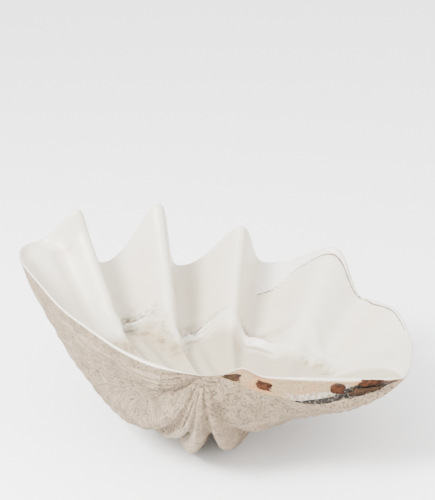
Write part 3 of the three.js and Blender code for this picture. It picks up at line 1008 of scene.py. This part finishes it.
def build_lights(settings):
    world = bpy.context.scene.world or bpy.data.worlds.new("studio")
    bpy.context.scene.world = world
    world.use_nodes = True
    sky = world.node_tree.nodes["Background"]
    sky.inputs["Color"].default_value = (1.0, 1.0, 1.0, 1.0)
    sky.inputs["Strength"].default_value = settings.sky_brightness
    area_light("key_light", (-1.7, -1.3, 2.3), 1.2, settings.key_power)
    area_light("fill_light", (1.8, -1.6, 1.6), 2.0, settings.fill_power)


def build_camera():
    """A long lens, a little left of the middle and twenty degrees up."""
    forward = Vector((math.sin(CAMERA_AZIMUTH) * math.cos(CAMERA_ELEVATION),
                      math.cos(CAMERA_AZIMUTH) * math.cos(CAMERA_ELEVATION),
                      -math.sin(CAMERA_ELEVATION)))
    level = Vector((math.cos(CAMERA_AZIMUTH), -math.sin(CAMERA_AZIMUTH), 0.0))
    upright = level.cross(forward)
    right = level * math.cos(CAMERA_ROLL) + upright * math.sin(CAMERA_ROLL)
    up = upright * math.cos(CAMERA_ROLL) - level * math.sin(CAMERA_ROLL)
    camera = bpy.data.objects.new("camera", bpy.data.cameras.new("camera"))
    bpy.context.scene.collection.objects.link(camera)
    basis = Matrix((right, up, -forward)).transposed()
    camera.matrix_world = Matrix.Translation(CAMERA_PLACE) @ basis.to_4x4()
    camera.data.sensor_fit = "VERTICAL"
    camera.data.sensor_height = SENSOR_HEIGHT
    camera.data.lens = FOCAL_LENGTH
    bpy.context.scene.camera = camera


# ---------------------------------------------------------------- add-on

def length(name, description, default, highest):
    """A length setting, in metres."""
    return FloatProperty(name=name, description=description, default=default, min=0.0, max=highest,
                         subtype="DISTANCE", unit="LENGTH")


def colour(name, description, default):
    """A linear colour setting."""
    return FloatVectorProperty(name=name, description=description, subtype="COLOR", default=default)


def power(name, description, default):
    """A light's power, in watts."""
    return FloatProperty(name=name, description=description, default=default, min=0.0, unit="POWER")


class ShellSettings(bpy.types.PropertyGroup):
    """Sizes and colours of the valve."""

    lip_height: length("Lip height", "Rise of the inner layer's thick lip", 0.009, 0.015)
    growth_relief: length("Growth relief", "Height of the outer side's growth steps", 0.002, 0.004)
    porcelain: colour("Porcelain", "Clean white of the bowl", (0.64, 0.595, 0.5))
    porcelain_warm: colour("Warm porcelain", "Creamier patches of the bowl", (0.6, 0.54, 0.435))
    porcelain_deep: colour("Deep porcelain", "Cream of the bowl's floor", (0.38, 0.32, 0.22))
    chalk: colour("Chalk", "Outer side", (0.285, 0.215, 0.14))
    chalk_dark: colour("Dark chalk", "Dirty parts of the outer side", (0.185, 0.132, 0.082))
    chalk_pink: colour("Pink chalk", "Bands of the outer side", (0.3, 0.2, 0.13))
    chalk_pale: colour("Pale chalk", "Worn tops of the outer side", (0.46, 0.385, 0.29))
    pit: colour("Pits", "Inside the outer side's pits", (0.085, 0.06, 0.04))


class LigamentSettings(bpy.types.PropertyGroup):
    """Colours of the dried ligament."""

    rust_dark: colour("Dark rust", "Darker tone of the rusty scraps", (0.014, 0.005, 0.002))
    rust_light: colour("Light rust", "Lighter tone of the rusty scraps", (0.06, 0.02, 0.008))
    crust_dark: colour("Dark crust", "Darker tone of the dark scraps", (0.014, 0.008, 0.005))
    crust_light: colour("Light crust", "Lighter tone of the dark scraps", (0.05, 0.026, 0.013))


class StageSettings(bpy.types.PropertyGroup):
    """Floor and lights."""

    floor_colour: colour("Floor", "Colour of the studio floor", (0.97, 0.97, 0.97))
    sky_brightness: FloatProperty(name="Sky brightness", description="Even light from all around",
                                  default=2.9, min=0.0)
    key_power: power("Key light", "Power of the light at the upper left", 330.0)
    fill_power: power("Fill light", "Power of the light at the right", 45.0)


class SHELL_OT_valve(bpy.types.Operator):
    """Build the valve on its growth law"""

    bl_idname = "shell.valve"
    bl_label = "Valve"

    def execute(self, context):
        build_valve(context.scene.shell_settings)
        return {"FINISHED"}


class SHELL_OT_ligament(bpy.types.Operator):
    """Build the scraps of dried ligament"""

    bl_idname = "shell.ligament"
    bl_label = "Ligament"

    def execute(self, context):
        settings = context.scene.ligament_settings
        rust = ligament_finish("ligament_rust", settings.rust_dark, settings.rust_light)
        dark = ligament_finish("ligament_dark", settings.crust_dark, settings.crust_light)
        for node in ("ligament_scrap_front", "ligament_scrap_middle", "ligament_scrap_back"):
            build_scrap(node, rust)
        for node in ("ligament_scrap_beak", "ligament_crust"):
            build_scrap(node, dark)
        return {"FINISHED"}


class SHELL_OT_stage(bpy.types.Operator):
    """Set the floor, the lights and the camera"""

    bl_idname = "shell.stage"
    bl_label = "Stage"

    def execute(self, context):
        settings = context.scene.stage_settings
        build_floor(settings)
        build_lights(settings)
        build_camera()
        return {"FINISHED"}


class SHELL_PT_panel(bpy.types.Panel):
    """Lists the shell's steps"""

    bl_idname = "SHELL_PT_panel"
    bl_label = "Giant clam shell"
    bl_space_type = "VIEW_3D"
    bl_region_type = "UI"
    bl_category = "Shell"

    def draw(self, context):
        for group, holder, operator in STEPS:
            box = self.layout.box()
            for name in group.__annotations__:
                box.prop(getattr(context.scene, holder), name)
            box.operator(operator.bl_idname)


# Each step's settings, the scene property that holds them, and its operator.
STEPS = (
    (ShellSettings, "shell_settings", SHELL_OT_valve),
    (LigamentSettings, "ligament_settings", SHELL_OT_ligament),
    (StageSettings, "stage_settings", SHELL_OT_stage),
)
CLASSES = (
    ShellSettings, LigamentSettings, StageSettings,
    SHELL_OT_valve, SHELL_OT_ligament, SHELL_OT_stage, SHELL_PT_panel,
)


def register():
    for item in CLASSES:
        bpy.utils.register_class(item)
    for group, holder, _operator in STEPS:
        setattr(bpy.types.Scene, holder, PointerProperty(type=group))


def unregister():
    for _group, holder, _operator in STEPS:
        delattr(bpy.types.Scene, holder)
    for item in reversed(CLASSES):
        bpy.utils.unregister_class(item)


def main():
    register()
    bpy.ops.shell.stage()
    bpy.ops.shell.valve()
    bpy.ops.shell.ligament()


if __name__ == "__main__":
    main()
